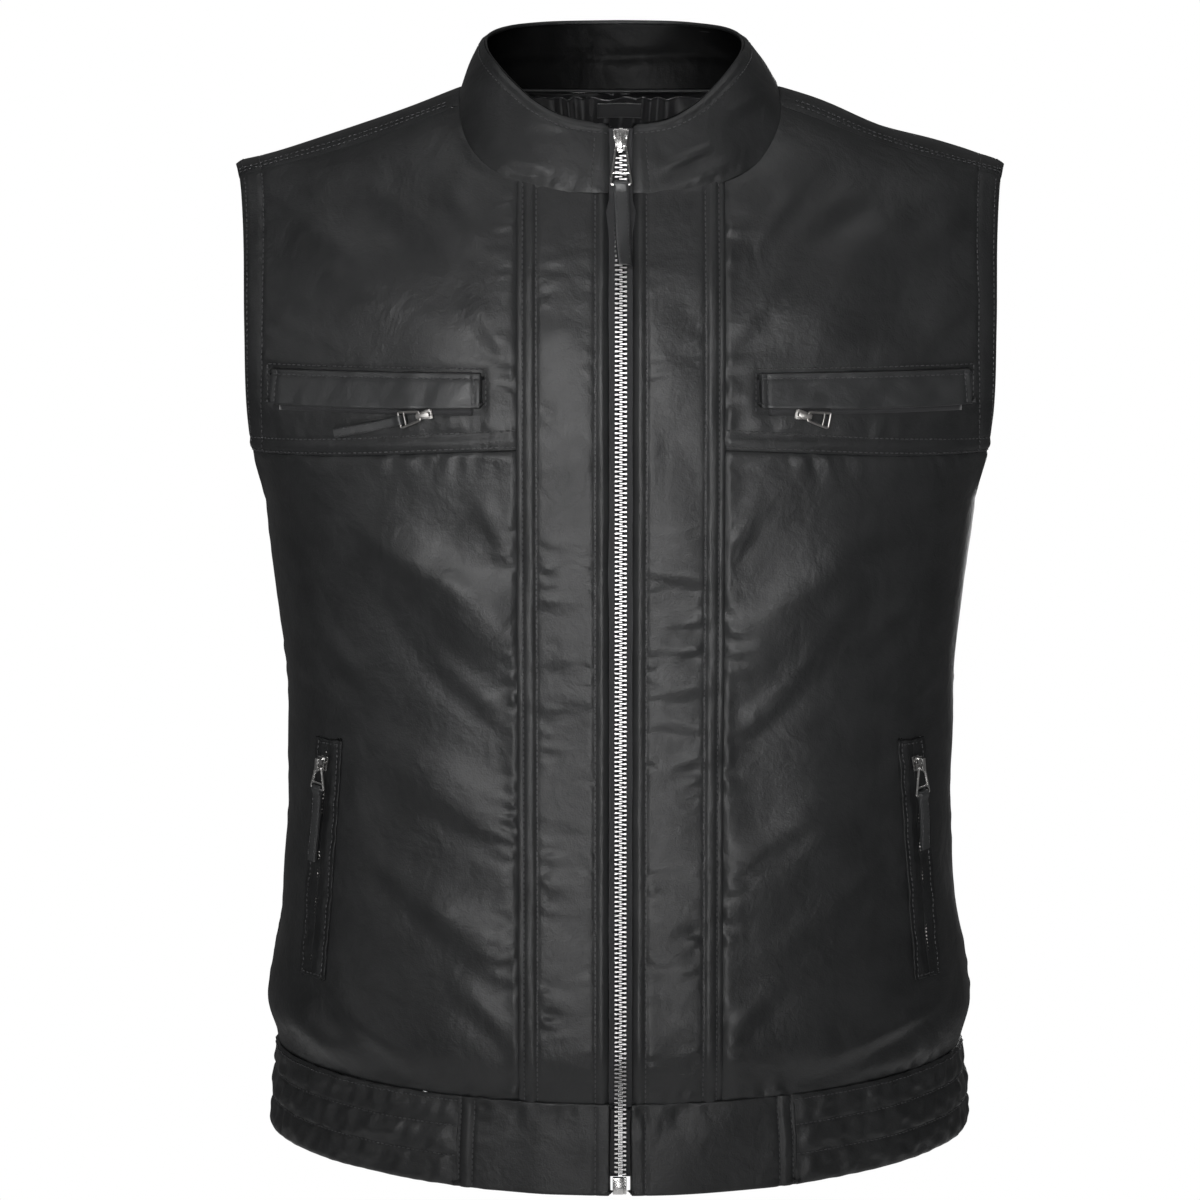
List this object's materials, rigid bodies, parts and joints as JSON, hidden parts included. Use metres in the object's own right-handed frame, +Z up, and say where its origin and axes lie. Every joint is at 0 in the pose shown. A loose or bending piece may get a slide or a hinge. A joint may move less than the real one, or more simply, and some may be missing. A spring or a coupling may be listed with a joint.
{
  "type": "zip-front leather vest",
  "caption": "Sleeveless leather vest in its worn shape, with a stand collar, chest yokes, zip pockets and a waistband gathered at the sides.",
  "frame": {"origin": "middle of the neck, level with the shoulder line where it meets the collar; where the wearer's shoulders carry the vest", "axes": "+Z up, front of the vest facing -Y, wearer's left side on +X"},
  "size_m": [0.461, 0.2427, 0.6874],
  "materials": {
    "leather": "smooth, semi-gloss",
    "facing": "smooth, matt",
    "lining": "satin",
    "label": "woven",
    "zip_tape": "woven",
    "zip_metal": "polished"
  },
  "bodies": {
    "garment": {"front_zip_panel_left": "leather", "front_zip_panel_right": "leather", "front_yoke_left": "leather", "front_yoke_right": "leather", "front_side_panel_left": "leather", "front_side_panel_right": "leather", "back": "leather", "collar": "leather", "collar_facing": "facing", "hem_tab_left": "leather", "hem_tab_right": "leather", "hem_elastic_left": "leather", "hem_elastic_right": "leather", "hem_back": "leather", "lining_back": "lining", "neck_label": "label", "zip_tape_left": "zip_tape", "zip_tape_right": "zip_tape", "zip_chain": "zip_metal", "zip_stop": "zip_metal", "zip_slider": "zip_metal", "chest_welt_left": "leather", "chest_welt_right": "leather", "chest_zip_left": "zip_metal", "chest_zip_right": "zip_metal", "chest_left_slider": "zip_metal", "chest_right_slider": "zip_metal", "hand_welt_left": "leather", "hand_welt_right": "leather", "hand_zip_left": "zip_metal", "hand_zip_right": "zip_metal", "hand_left_slider": "zip_metal", "hand_right_slider": "zip_metal"},
    "main_pull": {"zip_pull": "zip_metal", "zip_tab": "leather"},
    "chest_pull_left": {"chest_left_pull": "zip_metal"},
    "chest_pull_right": {"chest_right_pull": "zip_metal", "chest_right_tab": "leather"},
    "hand_pull_left": {"hand_left_pull": "zip_metal", "hand_left_tab": "leather"},
    "hand_pull_right": {"hand_right_pull": "zip_metal", "hand_right_tab": "leather"}
  },
  "joints": [
    {"name": "main_pull_hinge", "type": "hinge", "parent": "garment", "child": "main_pull", "pos_m": [0, -0.09251, -0.03634], "axis": [-1, 0, 0], "range_deg": [0, 150]},
    {"name": "chest_pull_left_hinge", "type": "hinge", "parent": "garment", "child": "chest_pull_left", "pos_m": [0.10738, -0.12128, -0.18992], "axis": [-0.2065, -0.0852, -0.9747], "range_deg": [0, 150]},
    {"name": "chest_pull_right_hinge", "type": "hinge", "parent": "garment", "child": "chest_pull_right", "pos_m": [-0.11553, -0.1196, -0.18996], "axis": [-0.2053, 0.0841, 0.9751], "range_deg": [0, 150]},
    {"name": "hand_pull_left_hinge", "type": "hinge", "parent": "garment", "child": "hand_pull_left", "pos_m": [0.17941, -0.07394, -0.40404], "axis": [-0.7235, -0.6817, -0.1087], "range_deg": [0, 150]},
    {"name": "hand_pull_right_hinge", "type": "hinge", "parent": "garment", "child": "hand_pull_right", "pos_m": [-0.17942, -0.07395, -0.40404], "axis": [-0.7235, 0.6817, 0.1087], "range_deg": [0, 150]}
  ]
}
